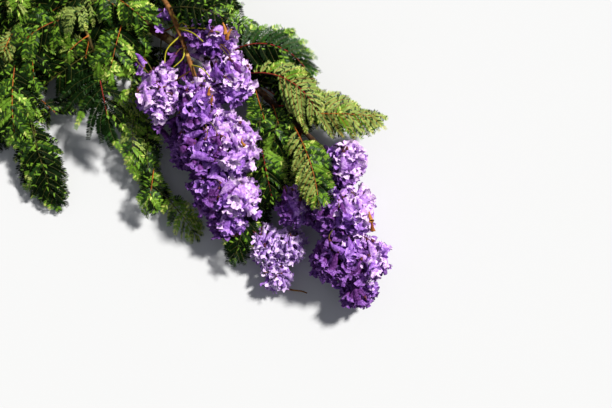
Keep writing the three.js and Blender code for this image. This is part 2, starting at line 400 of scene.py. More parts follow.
LEAF_TONES = {
    row[0]: tone_of_leaf(*row)
    for row in (
        ("edged", "#12300a", "#1f4a10", 0.5, 0.2, 10.4, 0.4, 7.4, 2.5, 0.7, "middle", 0.3, "fresh", 1.0),
        ("deep", "#040f02", "#0c2005", 0.6, 0.05, 11.0, 0.42, 7.9, 2.6, 0.7, "fresh", 0.11, "fresh", 0.14),
        ("comb", "#061403", "#0e2406", 0.6, 0.05, 11.0, 0.42, 8.4, 2.4, 0.5, "middle", 0.15, "fresh", 0.2),
        ("middle", "#112a05", "#264b0f", 0.45, 0.3, 9.6, 0.45, 7.7, 2.5, 0.7, "fresh", 0.36, "fresh", 0.3),
        ("fresh", "#56801e", "#78a02e", 0.5, 0.2, 10.4, 0.45, 7.2, 2.4, 0.75, "tip", 0.18, "tip", 0.3),
        ("pale", "#788c40", "#9aae5a", 0.6, 0.2, 9.0, 0.3, 5.8, 1.9, 1.0, "middle", 0.25, "tip", 0.45),
        ("tip", "#a4b648", "#ccda76", 0.55, 0.2, 9.0, 0.3, 6.6, 2.3, 0.9, "fresh", 0.3, "tip", 0),
    )
}


# Meshes: plain lines and points that the trees below grow into stalks, leaflets and flowers

def put(mesh, key, values):
    """Stores one number, whole number or vector for each point."""
    if values.ndim == 2:
        kind, field = "FLOAT_VECTOR", "vector"
    else:
        kind, field = "INT" if values.dtype.kind == "i" else "FLOAT", "value"
    values = values.astype(np.int32 if kind == "INT" else np.float32)
    mesh.attributes.new(key, kind, "POINT").data.foreach_set(field, values.ravel())


def line_mesh(lines, **rows):
    """Open lines, with named numbers or vectors at each of their points."""
    counts = [len(line) for line in lines]
    starts = np.cumsum([0] + counts[:-1])
    edges = [(s + i, s + i + 1) for s, n in zip(starts, counts) for i in range(n - 1)]
    mesh = bpy.data.meshes.new("lines")
    mesh.from_pydata(metres(np.concatenate(lines)).tolist(), edges, [])
    for key, values in rows.items():
        put(mesh, key, np.concatenate(values))
    return mesh


def point_mesh(places, **rows):
    mesh = bpy.data.meshes.new("points")
    mesh.from_pydata(metres(places).tolist(), [], [])
    for key, values in rows.items():
        put(mesh, key, np.asarray(values))
    return mesh


# Geometry Nodes: three trees, for stalks, leaflets and whole shapes set on points

def new_tree(name, inputs):
    """An empty tree with a geometry in and out, and a named input for each of its sizes."""
    tree = bpy.data.node_groups.new(name, "GeometryNodeTree")
    tree.interface.new_socket("Geometry", in_out="INPUT", socket_type="NodeSocketGeometry")
    for label, kind in inputs.items():
        tree.interface.new_socket(label, in_out="INPUT", socket_type="NodeSocket" + kind)
    tree.interface.new_socket("Geometry", in_out="OUTPUT", socket_type="NodeSocketGeometry")
    return tree, tree.nodes.new("NodeGroupInput").outputs


def attribute(tree, key, kind="FLOAT"):
    return add(tree, "GeometryNodeInputNamedAttribute", {"Name": key}, data_type=kind).outputs["Attribute"]


def number_math(tree, operation, first, second):
    return add(tree, "ShaderNodeMath", {0: first, 1: second}, operation=operation).outputs[0]


def vector_math(tree, operation, first, second):
    made = add(tree, "ShaderNodeVectorMath", {0: first, 1: second}, operation=operation)
    return made.outputs["Vector"]


def scaled(tree, vector, scale):
    return add(tree, "ShaderNodeVectorMath", {0: vector, "Scale": scale}, operation="SCALE").outputs["Vector"]


def random_vector(tree, reach, seed):
    inputs = {0: (-reach,) * 3, 1: (reach,) * 3, "Seed": seed}
    return add(tree, "FunctionNodeRandomValue", inputs, data_type="FLOAT_VECTOR").outputs[0]


def random_number(tree, low, high, seed):
    inputs = {2: low, 3: high, "Seed": seed}
    return add(tree, "FunctionNodeRandomValue", inputs, data_type="FLOAT").outputs[1]


def random_choice(tree, share, seed):
    inputs = {"Probability": share, "Seed": seed}
    return add(tree, "FunctionNodeRandomValue", inputs, data_type="BOOLEAN").outputs[3]


def even_curves(tree, lines, step):
    """Lines as curves, with points the same step apart."""
    curve = add(tree, "GeometryNodeMeshToCurve", {"Mesh": lines}).outputs[0]
    return add(tree, "GeometryNodeResampleCurve", {"Curve": curve, "Length": step}, mode="LENGTH").outputs[0]


def facing(tree, aim, face):
    """The turn that points +X along the aim, with +Z as near to the face direction as it can be."""
    inputs = {"Primary Axis": aim, "Secondary Axis": face}
    return add(tree, "FunctionNodeAxesToRotation", inputs, primary_axis="X", secondary_axis="Z").outputs[0]


def real(tree, geometry):
    return add(tree, "GeometryNodeRealizeInstances", {"Geometry": geometry}).outputs[0]


def painted(tree, geometry, material, **chosen):
    inputs = {"Geometry": geometry, "Material": material, **chosen}
    return add(tree, "GeometryNodeSetMaterial", inputs).outputs[0]


def end_tree(tree, geometry):
    add(tree, "NodeGroupOutput", {0: geometry})
    return tree


def stalk_tree():
    """Grows each line into a round stalk of its own thickness, with an uneven skin."""
    sizes = {"Sides": "Int", "Step": "Float", "Relief": "Float", "Grain": "Float"}
    tree, given = new_tree("stalks", {**sizes, "Material": "Material"})
    inputs = {"Resolution": given["Sides"], "Radius": 1.0}
    ring = add(tree, "GeometryNodeCurvePrimitiveCircle", inputs).outputs["Curve"]
    even = even_curves(tree, given["Geometry"], given["Step"])
    inputs = {"Curve": even, "Profile Curve": ring, "Scale": attribute(tree, "thickness"), "Fill Caps": True}
    tube = add(tree, "GeometryNodeCurveToMesh", inputs).outputs[0]
    place = tree.nodes.new("GeometryNodeInputPosition").outputs[0]
    inputs = {"Vector": place, "Scale": given["Grain"], "Detail": 4.0}
    uneven = add(tree, "ShaderNodeTexNoise", inputs, noise_dimensions="3D").outputs["Fac"]
    height = number_math(tree, "MULTIPLY", number_math(tree, "SUBTRACT", uneven, 0.5), given["Relief"])
    height = number_math(tree, "MULTIPLY", height, attribute(tree, "rough"))
    offset = scaled(tree, tree.nodes.new("GeometryNodeInputNormal").outputs["Normal"], height)
    moved = add(tree, "GeometryNodeSetPosition", {"Geometry": tube, "Offset": offset}).outputs[0]
    smooth = add(tree, "GeometryNodeSetShadeSmooth", {"Geometry": moved}).outputs[0]
    return end_tree(tree, painted(tree, real(tree, smooth), given["Material"]))


def leaflet_tree():
    """Sets opposite pairs of leaflets along each line, square to the line's own upward direction."""
    sizes = {"Spacing": "Float", "Forward": "Float", "Tilt": "Float", "Seed": "Int", "Odd Share": "Float"}
    looks = {"Leaflet": "Object", "Material": "Material", "Glint And Shade Material": "Material"}
    tree, given = new_tree("leaflets", {**sizes, **looks})
    even = even_curves(tree, given["Geometry"], given["Spacing"])
    shape = add(tree, "GeometryNodeObjectInfo", {"Object": given["Leaflet"]}).outputs["Geometry"]
    along = tree.nodes.new("GeometryNodeInputTangent").outputs[0]
    upward = attribute(tree, "upward", "FLOAT_VECTOR")
    square = vector_math(tree, "CROSS_PRODUCT", upward, along)
    across = add(tree, "ShaderNodeVectorMath", {0: square}, operation="NORMALIZE").outputs["Vector"]
    ahead = scaled(tree, along, given["Forward"])
    joined = add(tree, "GeometryNodeJoinGeometry")
    for side in (-1.0, 1.0):
        seed = number_math(tree, "ADD", given["Seed"], side)
        outward = scaled(tree, across, side)
        aim = vector_math(tree, "ADD", outward, ahead)
        aim = vector_math(tree, "ADD", aim, random_vector(tree, 0.16, seed))
        face = vector_math(tree, "SUBTRACT", upward, scaled(tree, outward, given["Tilt"]))
        face = vector_math(tree, "ADD", face, random_vector(tree, 0.4, seed))
        size = number_math(tree, "MULTIPLY", attribute(tree, "size"), random_number(tree, 0.85, 1.12, seed))
        inputs = {"Points": even, "Instance": shape, "Rotation": facing(tree, aim, face), "Scale": size}
        set_out = add(tree, "GeometryNodeInstanceOnPoints", inputs).outputs[0]
        # A random share of the leaflets is marked for the second material, painted glints of light on darker
        # feathers and painted specks of shade on pale ones
        inputs = {"Geometry": set_out, "Name": "odd", "Value": random_choice(tree, given["Odd Share"], seed)}
        kinds = {"data_type": "BOOLEAN", "domain": "INSTANCE"}
        marked = add(tree, "GeometryNodeStoreNamedAttribute", inputs, **kinds).outputs[0]
        tree.links.new(marked, joined.inputs[0])
    leaflets = painted(tree, real(tree, joined.outputs[0]), given["Material"])
    odd = attribute(tree, "odd", "BOOLEAN")
    return end_tree(tree, painted(tree, leaflets, given["Glint And Shade Material"], Selection=odd))


def scatter_tree():
    """Sets one of a family of shapes on each point, by the point's own number, directions and size."""
    finishes = {"Outer": "Material", "Rim": "Material", "Inner": "Material"}
    tree, given = new_tree("scatter", {"Shapes": "Collection", **finishes})
    inputs = {"Collection": given["Shapes"], "Separate Children": True, "Reset Children": True}
    shapes = add(tree, "GeometryNodeCollectionInfo", inputs).outputs[0]
    turn = facing(tree, attribute(tree, "aim", "FLOAT_VECTOR"), attribute(tree, "upward", "FLOAT_VECTOR"))
    inputs = {"Points": given["Geometry"], "Instance": shapes, "Pick Instance": True, "Rotation": turn}
    picked = {"Instance Index": attribute(tree, "form", "INT"), "Scale": attribute(tree, "size")}
    made = real(tree, add(tree, "GeometryNodeInstanceOnPoints", {**inputs, **picked}).outputs[0])
    part = attribute(tree, "part", "INT")
    for number, label in enumerate(finishes):
        same = add(tree, "FunctionNodeCompare", {2: part, 3: number}, data_type="INT", operation="EQUAL")
        made = painted(tree, made, given[label], Selection=same.outputs[0])
    return end_tree(tree, made)


STALKS = stalk_tree()
LEAFLETS = leaflet_tree()
SCATTER = scatter_tree()


def grow(name, mesh, tree, values):
    """Runs a tree on a mesh, and keeps what it makes as a plain mesh piece."""
    piece = new_object(name, mesh)
    modifier = piece.modifiers.new("grow", "NODES")
    modifier.node_group = tree
    for item in tree.interface.items_tree:
        if item.in_out == "INPUT" and item.name in values:
            modifier[item.identifier] = values[item.name]
    depsgraph = bpy.context.evaluated_depsgraph_get()
    grown = bpy.data.meshes.new_from_object(piece.evaluated_get(depsgraph), depsgraph=depsgraph)
    piece.modifiers.clear()
    piece.data = grown
    grown.name = name
    bpy.data.meshes.remove(mesh)
    lift_off_floor(grown)
    return piece


def lift_off_floor(mesh):
    """What would reach under the floor is pressed flat on it."""
    places = np.empty(len(mesh.vertices) * 3, np.float32)
    mesh.vertices.foreach_get("co", places)
    heights = places[2::3]
    np.maximum(heights, FLOOR_CLEARANCE * MM, out=heights)
    mesh.vertices.foreach_set("co", places)
    mesh.update()


def grow_stalks(name, lines, radii, material, sides, step, relief=0.0, rough=None):
    """Lines as round stalks. The relief is how uneven their skin is, where rough is 1."""
    rough = rough or [np.zeros(len(line)) for line in lines]
    mesh = line_mesh(lines, thickness=[r * MM for r in radii], rough=rough)
    values = {"Sides": sides, "Step": step * MM, "Relief": relief * MM, "Grain": 320.0, "Material": material}
    return grow(name, mesh, STALKS, values)


def finish_piece(piece, nodes):
    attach(piece, "root")
    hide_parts(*nodes)


# The limbs: bark with relief along each curve, and the sawn end of the bough

LIMB_POINTS = 60
KNOT_SWELL = 0.22
KNOT_LENGTH = 0.018
SWAY = 0.12
STEADY_ENDS = 12
BARK_RELIEF = 0.3
BARK_STEP = 1.6


def limb_lines(limb, rng):
    """The limb's axis and radii, slightly crooked, swelling at each knot, and steady at its ends."""
    route, radii = LIMBS[limb]
    share = np.linspace(0, 1, LIMB_POINTS)
    radii = mix(*radii, share)
    for knot in knots_of(limb):
        radii = radii * (1 + KNOT_SWELL * np.exp(-(((share - knot) / KNOT_LENGTH) ** 2)))
    steady = np.minimum(1, np.minimum(share, 1 - share) * STEADY_ENDS)
    sway = np.cumsum(rng.normal(0, SWAY, (LIMB_POINTS, 3)), axis=0)
    sway -= mix(sway[:1], sway[-1:], share[:, None])
    return cubic(route, share) + sway * steady[:, None], radii, steady


def knots_of(limb):
    """A limb swells where a leaf leaves it."""
    return sorted({row[1] for row in LEAVES if row[0] == limb and 0.05 < row[1] < 0.95})


def make_limb(limb, rng):
    line, radii, steady = limb_lines(limb, rng)
    relief = BARK_RELIEF * LIMBS[limb][1][0]
    sides = 40 if limb == "bough" else 20
    material = LIMB_FINISHES.get(limb, LEAFY_STEM)
    piece = grow_stalks(limb + "_bark", [line], [radii], material, sides, BARK_STEP, relief, [steady])
    if limb == "bough":
        show_cut(piece)
    finish_piece(piece, [limb])


def show_cut(piece):
    """The flat face at the bough's foot shows its wood."""
    piece.data.materials.append(CUT_WOOD)
    for face in piece.data.polygons:
        if len(face.vertices) > 4:
            face.material_index = 1
            face.use_smooth = False


# The leaves: a rachis, pairs of feathers along it, and pairs of leaflets along each feather

Leaf = namedtuple("Leaf", "start heading turn length left right middle tip tone rachis")
PETIOLE_SHARE = 0.14
RACHIS_RADII = (1.05, 0.4)
RACHIS_POINTS = 26
SWOLLEN_FOOT = 0.9
LOWEST_RACHIS = 2.4
# Seen from above, a blade's width along it is a parabola, as a share of the widest place
FOOT_WIDTH = 0.55
WIDENING = 1.25
NARROWING = 1.8
WIDEST = 0.767
USUAL_SPREAD = 68
FEWEST_PAIRS = 6
FEWEST_FEATHERS = 4
FEATHER_POINTS = 7
LAST_FEATHER = 0.95
END_FEATHER = 0.2
SHORTEST_FEATHER = 11
LOWEST_FEATHER = 2.0
FIRST_SPLAY = 70
LAST_SPLAY = 36
HANG = 0.26
SAG = 0.3
FEATHER_RADII = (0.42, 0.2)
# The leaflets' lengths along a feather, as a share of the longest
LEAFLET_PROFILE = np.array([0.75, 0.95, 1.0, 1.0, 0.92, 0.76, 0.48])
LEAFLET_TILT = 0.3
FEATHERS_IN_PIECE = 420
# How often a feather is of another tone than its leaf, and how often that tone is the lighter one
CHANGES = {"deep": 0.42, "middle": 0.42, "fresh": 0.42, "pale": 0.14}
LIGHTER = 0.28


def rachis_point(leaf, share):
    """The rachis seen from above is an arc, and its height passes through its start, middle and tip."""
    share = np.asarray(share, float)
    heading = math.radians(leaf.heading)
    swing = math.radians(leaf.turn) * share + 1e-7
    x = leaf.start[0] + leaf.length * share * (np.sin(heading + swing) - math.sin(heading)) / swing
    y = leaf.start[1] - leaf.length * share * (np.cos(heading + swing) - math.cos(heading)) / swing
    z = (1 - share) * (1 - 2 * share) * leaf.start[2] + 4 * share * (1 - share) * leaf.middle
    return np.stack([x, y, z + share * (2 * share - 1) * leaf.tip], axis=-1)


def blade_outline(share):
    along = (share - PETIOLE_SHARE) / (1 - PETIOLE_SHARE)
    return max(0.0, FOOT_WIDTH + WIDENING * along - NARROWING * along * along) / WIDEST


def feather_length(leaf, share, side, splay):
    if not side:
        return END_FEATHER * (leaf.left + leaf.right)
    reach = (leaf.left if side > 0 else leaf.right) * blade_outline(share)
    return reach / max(0.5, math.sin(math.radians(abs(splay))))


def feather_line(leaf, share, side, splay, rng):
    """A feather splays from the rachis, curls forward, hangs towards the sheet's foot, and sags."""
    foot = rachis_point(leaf, share)
    climb = unit(foot - rachis_point(leaf, share - 0.02))[2] * math.cos(math.radians(splay)) * 0.6
    length = max(SHORTEST_FEATHER, feather_length(leaf, share, side, splay) * rng.uniform(0.92, 1.06))
    curl = -side * rng.uniform(6, 22)
    way = leaf.heading + leaf.turn * share + splay
    hang = HANG * ((-90 - way + 180) % 360 - 180)
    steps = np.linspace(0, 1, FEATHER_POINTS)
    angle = np.radians(way + (curl + hang) * steps)
    plan = np.stack([np.cos(angle), np.sin(angle)], axis=-1) * length / (FEATHER_POINTS - 1)
    line = np.tile(foot, (FEATHER_POINTS, 1))
    line[1:, :2] += np.cumsum(plan[:-1], axis=0)
    line[:, 2] += length * (climb * steps - SAG * rng.uniform(0.5, 1.5) * steps**2)
    line[:, 2] = np.maximum(line[:, 2], LOWEST_FEATHER)
    return line


def upper_side(line, roll):
    """The direction that a feather's upper side faces, rolled about its own line."""
    along = unit(np.gradient(line, axis=0))
    upward = unit(UP - along * along[:, 2:])
    return unit(upward + roll * np.cross(along, upward))


def leaf_feathers(leaf, rng):
    """Yields each feather's line, the direction that its upper side faces, and its tone."""
    tones = (leaf.tone + "/" + leaf.tone).split("/")
    spacing = LEAF_TONES[tones[0]].spacing * mix(0.7, 1.0, (leaf.left + leaf.right) / USUAL_SPREAD)
    pairs = max(FEWEST_PAIRS, round(leaf.length * (1 - PETIOLE_SHARE) / spacing))
    for pair in range(pairs + 1):
        share = mix(PETIOLE_SHARE, LAST_FEATHER, (pair + 0.35) / (pairs + 0.35))
        for side in (0,) if pair == pairs else (-1, 1):
            if side < 0 and not leaf.right:
                continue
            splay = side * (mix(FIRST_SPLAY, LAST_SPLAY, (pair / pairs) ** 1.4) + rng.normal(0, 4))
            line = feather_line(leaf, share, side, splay, rng)
            tone = tones[0] if side > 0 else tones[1]
            upward = upper_side(line, rng.normal(0, LEAF_TONES[tone].roll))
            if not in_opening(line[-1], OPENINGS) and not in_opening(line[3], OPENINGS):
                yield line, upward, tone


def finger_feathers(leaf):
    """Yields the long hanging feathers in the same way."""
    for share, x, y in FINGERS:
        foot = rachis_point(leaf, share)
        tip = np.array([x, y, foot[2]])
        run = tip - foot
        tip[2] -= SAG * np.linalg.norm(run)
        aside = FINGER_BOW * np.array([run[1], -run[0], 0])
        yield bowed(foot, tip, aside, FEATHER_POINTS), np.tile(UP, (FEATHER_POINTS, 1)), "comb"


def next_tone(tone, rng):
    """A feather is often a step lighter or darker than its leaf."""
    order = list(CHANGES)
    if tone not in order or rng.random() > CHANGES[tone]:
        return tone
    step = 1 if rng.random() < LIGHTER else -1
    return order[min(len(order) - 1, max(0, order.index(tone) + step))]


# A darker leaf of the deep tone close under another, painted shade under it
def painted_shade_leaf(leaf):
    lower = {"middle": max(10, leaf.middle - UNDER), "tip": max(8, leaf.tip - UNDER)}
    return leaf._replace(length=leaf.length * UNDER_LENGTH, tone="deep", rachis="olive", **lower)


def spray(limb, first, last, count, heading, fan, length, reach, low, high, tone, rng):
    for number in range(count):
        middle = rng.uniform(low, high)
        yield Leaf(
            start=limb_point(limb, mix(first, last, (number + 0.5) / count)),
            heading=heading + rng.uniform(-fan, fan),
            turn=rng.uniform(-30, 30),
            length=length * rng.uniform(0.85, 1.1),
            left=reach,
            right=reach,
            middle=middle,
            tip=max(8, middle * rng.uniform(0.4, 0.9)),
            tone=tone,
            rachis="olive" if rng.random() < 0.6 else "orange",
        )


def all_leaves(rng):
    leaves = [Leaf(limb_point(limb, share), *rest) for limb, share, *rest in LEAVES]
    leaves += [painted_shade_leaf(leaves[number - 1]) for number in DOUBLED]
    for row in SPRAYS:
        leaves += spray(*row, rng)
    return leaves


def leaflet_shape():
    """One leaflet of unit length: a closed lens with its own outline, thickest along its midrib."""
    points = [(-0.06, 0, 0), (0.14, 0.16, 0), (0.6, 0.17, 0), (1, 0, 0), (0.6, -0.17, 0), (0.14, -0.16, 0)]
    points.append((0.42, 0, 0.05))
    faces = [(6, i, (i + 5) % 6) for i in range(6)] + [tuple(range(6))]
    mesh = bpy.data.meshes.new("leaflet")
    mesh.from_pydata(points, [], faces)
    return mesh


def rachis_line(leaf, feathers):
    """The leaf's stalk and its radii, from its swollen foot to its last feather."""
    away = max(np.linalg.norm((line[0] - leaf.start)[:2]) for line, _, _ in feathers)
    share = np.linspace(0, LAST_FEATHER + 0.01, RACHIS_POINTS)
    line = rachis_point(leaf, share)
    near = np.linalg.norm((line - leaf.start)[:, :2], axis=1) < away + 2
    line, share = line[near], share[near]
    line[:, 2] = np.maximum(line[:, 2], LOWEST_RACHIS)
    return line, mix(*RACHIS_RADII, share**0.8) + SWOLLEN_FOOT * np.exp(-((share / 0.03) ** 2))


def make_leaves():
    stalks = {tone: [] for tone in RACHIS_TONES}
    feathers = {tone: [] for tone in LEAF_TONES}
    for number, leaf in enumerate(all_leaves(np.random.default_rng(SEED + 1))):
        rng = np.random.default_rng([SEED + 1, number])
        kept = list(leaf_feathers(leaf, rng))
        if number + 1 == FINGERED:
            kept += finger_feathers(leaf)
        if len(kept) < FEWEST_FEATHERS:
            continue
        stalks[leaf.rachis].append(rachis_line(leaf, kept))
        for line, upward, tone in kept:
            rib = leaf.rachis if tone == "pale" else "olive"
            stalks[rib].append((line, np.linspace(*FEATHER_RADII, len(line))))
            share_out(line, upward, next_tone(tone, rng), feathers, rng)
    nodes = [f"leaf_{number:02d}" for number in range(1, len(LEAVES) + 1)]
    make_ribs(stalks, nodes)
    make_leaflets(feathers, nodes)


def share_out(line, upward, name, feathers, rng):
    """Puts a feather with those of its tone, and its end, painted lighter as a highlight, with those of a
    lighter one.
    """
    tone = LEAF_TONES[name]
    size = LEAFLET_PROFILE * tone.leaflet * MM
    body = FEATHER_POINTS
    if rng.random() < tone.end_share:
        body -= 2
        feathers[tone.end].append((line[body - 1 :], upward[body - 1 :], size[body - 1 :]))
    feathers[name].append((line[:body], upward[:body], size[:body]))


def make_ribs(stalks, nodes):
    """The rachises and the feathers' own thin stalks, one piece for each colour."""
    for tone, material in RACHIS_TONES.items():
        piece = grow_stalks("rachis_" + tone, *zip(*stalks[tone]), material, sides=4, step=6)
        finish_piece(piece, nodes)


def make_leaflets(feathers, nodes):
    """The leaflets, in pieces of one tone each, with some of another tone among them: painted glints and
    specks of shade.
    """
    leaflet = bpy.data.objects.new("leaflet", leaflet_shape())
    for number, (name, tone) in enumerate(LEAF_TONES.items()):
        looks = {"Leaflet": leaflet, "Material": tone.material, "Glint And Shade Material": LEAF_TONES[tone.odd].material}
        sizes = {"Spacing": tone.step * MM, "Forward": tone.sweep, "Tilt": LEAFLET_TILT}
        for part, first in enumerate(range(0, len(feathers[name]), FEATHERS_IN_PIECE)):
            lines, upward, size = zip(*feathers[name][first : first + FEATHERS_IN_PIECE])
            chances = {"Odd Share": tone.odd_share, "Seed": SEED + number + 10 * part}
            mesh = line_mesh(lines, upward=upward, size=size)
            piece = grow(f"leaflets_{name}_{part + 1}", mesh, LEAFLETS, {**looks, **sizes, **chances})
            finish_piece(piece, nodes)
    bpy.data.objects.remove(leaflet)


# The flowers: a bent, swelling tube that opens into five ruffled lobes

LOBES = 5
LOBE_SIDES = 5
AROUND = LOBES * LOBE_SIDES
TUBE_LENGTH = 31
# Places along the flower's axis, and its radius there
TUBE = [(0, 1.6), (8, 2.3), (13, 4.5), (21, 6.2), (TUBE_LENGTH, 6.6)]
THROAT = (18, 4.4)
BUD = [(1, 1.5), (6, 1.7), (10, 2.5), (15, 3.6), (19, 3.9), (22, 3.2), (24, 1.6)]
DRIED_TUBE = [(0, 1.4), (5, 1.6), (9, 2.6), (14, 3.0), (18, 4.4), (20, 5.0), (18, 3.4), (12, 1.8)]
CALYX = [(-2.2, 0.9), (0.2, 2.2), (2.6, 2.8)]
CALYX_TOOTH = 0.9
FOLD_FROM = 8
FOLD_DEPTH = 0.06
FLATNESS = 0.86
WALL = 0.55
CRUMPLE = 1.4
SLIP = 0.7
NOTCH_DEPTH = 0.62
LOWER_LOBES = 0.12
LOBE_START = 10
LOBE_BEND = 82
LOBE_BEND_CHANGE = 22
CUP = 2.0
PART_OUTER, PART_RIM, PART_INNER = 0, 1, 2


def smooth_step(value):
    value = np.clip(value, 0, 1)
    return value * value * (3 - 2 * value)


def tube_axis(bend):
    """The bent axis of a flower: a function from the length along it to the place, direction and back."""
    fine = np.linspace(0, TUBE_LENGTH, 61)
    dip = bend * smooth_step((fine - 4) / 12)
    ahead = np.stack([np.cos(dip), np.zeros_like(dip), -np.sin(dip)], axis=-1)
    place = np.concatenate([[np.zeros(3)], np.cumsum(ahead[:-1] * (fine[1] - fine[0]), axis=0)])

    def at(length):
        spot = np.array([np.interp(length, fine, place[:, i]) for i in range(3)])
        angle = np.interp(length, fine, dip)
        forward = np.array([math.cos(angle), 0, -math.sin(angle)])
        return spot, forward, np.array([math.sin(angle), 0, math.cos(angle)])

    return at


def angles_round(count):
    return np.arange(count) * 2 * math.pi / count


def ring_round(spot, back, radius, angles, flatten=FLATNESS):
    side = np.array([0.0, 1.0, 0.0])
    rounds = np.cos(angles)[:, None] * back * flatten + np.sin(angles)[:, None] * side
    return spot + rounds * np.asarray(radius).reshape(-1, 1)


def closed_skin(name, rings, first_pole, last_pole, parts=None):
    """A closed mesh through rings of points, with a pole at each end. Its faces point outwards."""
    around = len(rings[0])
    parts = parts or [PART_OUTER] * len(rings)
    points = np.concatenate([*rings, [first_pole], [last_pole]])
    start, end = len(points) - 2, len(points) - 1
    sides = [(i, (i + 1) % around) for i in range(around)]
    faces = [(start, j, i) for i, j in sides]
    high = 0
    for _ in rings[1:]:
        low, high = high, high + around
        faces += [(low + i, low + j, high + j, high + i) for i, j in sides]
    faces += [(end, high + i, high + j) for i, j in sides]
    strips = [parts[0], *parts[: len(rings) - 1], parts[-1]]
    if volume_of(points, faces) < 0:
        faces = [tuple(reversed(face)) for face in faces]
    mesh = bpy.data.meshes.new(name)
    mesh.from_pydata((points * MM).tolist(), [], faces)
    marks = np.repeat(np.array(strips, np.int32), around)
    mesh.attributes.new("part", "INT", "FACE").data.foreach_set("value", marks)
    mesh.shade_smooth()
    return mesh


def volume_of(points, faces):
    total = 0.0
    for face in faces:
        for k in range(1, len(face) - 1):
            total += np.dot(points[face[0]], np.cross(points[face[k]], points[face[k + 1]]))
    return total


def flower_shape(name, rng, width=1.0, lobe_length=10.5, cleft=3):
    """One flower with its calyx end at the origin and its mouth towards +X, its upper lobes towards +Z."""
    angles = angles_round(AROUND)
    at = tube_axis(math.radians(rng.uniform(20, 50)))
    folds = 1 + FOLD_DEPTH * np.cos(LOBES * angles) + rng.normal(0, 0.02, AROUND)
    folds = folds * width

    def ring(station):
        along, radius = station
        spot, _, back = at(along)
        return ring_round(spot, back, radius * (folds if along > FOLD_FROM else 1.0), angles)

    outer = [ring(station) for station in TUBE]
    mouth, (spot, ahead, _) = outer[-1], at(TUBE_LENGTH)
    away = unit(mouth - spot)

    # Each lobe has its own length and opening, and the lower ones reach further forward
    lobe = np.arange(AROUND) // LOBE_SIDES
    length_of = rng.uniform(0.85, 1.15, LOBES)[lobe]
    open_of = rng.normal(0, 9, LOBES)[lobe]
    notch = ((1 + np.cos(LOBES * angles)) / 2) ** cleft
    reach = lobe_length * length_of * (1 - NOTCH_DEPTH * notch) * (1 - LOWER_LOBES * np.cos(angles))
    opening = rng.uniform(0.5, 1.08)
    first = math.radians(LOBE_START)
    bend = np.radians((LOBE_BEND + LOBE_BEND_CHANGE * np.cos(angles) + open_of) * opening) - first
    crumple = rng.normal(0, CRUMPLE, AROUND)
    slip = rng.normal(0, SLIP, (AROUND, 3))

    def flare(share, inset):
        angle = first + bend * share
        out = reach * (np.cos(first) - np.cos(angle)) / bend
        forth = reach * (np.sin(angle) - np.sin(first)) / bend
        ruffle = crumple * share**2 - CUP * share * notch - inset
        normal = away * np.cos(angle)[:, None] - ahead * np.sin(angle)[:, None]
        places = mouth + away * out[:, None] + ahead * forth[:, None]
        return places + normal * ruffle[:, None] + slip * share**2

    front = [flare(0.5, 0.0), flare(1.0, 0.0)]
    inside = [flare(0.5, WALL * 0.75), flare(0.0, WALL)]
    parts = [PART_OUTER] * (len(outer) - 1) + [PART_RIM] * (len(front) + len(inside)) + [PART_INNER]
    mesh = closed_skin(name, [*outer, *front, *inside, ring(THROAT)], at(0)[0], at(7)[0], parts)
    mark_rim(mesh, (len(outer) + len(front) - 1) * AROUND)
    return mesh


def mark_rim(mesh, first):
    """The thin edge between a lobe's two sides is a sharp one."""
    last = first + AROUND
    for edge in mesh.edges:
        a, b = edge.vertices
        if first <= a < last and first <= b < last:
            edge.use_edge_sharp = True


def star_shape(name, rng):
    """A smaller, slender flower of the young panicle, its narrow lobes spread like a star."""
    return flower_shape(name, rng, width=0.72, lobe_length=14.0, cleft=1.3)


def club_shape(name, rng, around, bends, stations, uneven, end):
    """A bent, closed club, each of its rings a little uneven."""
    at = tube_axis(math.radians(rng.uniform(*bends)))
    rings = []
    for along, radius in stations:
        spot, _, back = at(along)
        rings.append(ring_round(spot, back, radius * rng.normal(1, uneven, around), angles_round(around)))
    return closed_skin(name, rings, at(0)[0], at(end)[0])


def bud_shape(name, rng):
    """A closed bud: a bent club with a blunt, slightly pinched tip."""
    return club_shape(name, rng, around=8, bends=(15, 50), stations=BUD, uneven=0.05, end=25)


def withered_shape(name, rng):
    """A dried flower: a shrunken, crumpled tube with a torn mouth."""
    return club_shape(name, rng, around=10, bends=(10, 60), stations=DRIED_TUBE, uneven=0.25, end=9)


def calyx_shape(name, rng):
    """The small toothed cup that holds a flower's foot, with the swollen end of its stalk."""
    around = 8
    rings = [ring_round(np.array([s, 0, 0]), UP, r, angles_round(around), 1.0) for s, r in CALYX]
    rings[-1][:, 0] += CALYX_TOOTH * (np.arange(around) % 2)
    return closed_skin(name, rings, np.array([-2.8, 0, 0]), np.array([1.6, 0, 0]))


# Each family's shape, and how many different ones it has
FAMILIES = {
    "flower": (flower_shape, 14),
    "star": (star_shape, 8),
    "calyx": (calyx_shape, 4),
    "bud": (bud_shape, 6),
    "dried": (withered_shape, 4),
}


def family(name, rng):
    """A hidden collection of different shapes of one kind, which the scatter tree picks from by number."""
    shape, count = FAMILIES[name]
    collection = bpy.data.collections.new(name)
    for number in range(count):
        label = f"{name}_{number:02d}"
        collection.objects.link(bpy.data.objects.new(label, shape(label, rng)))
    return collection


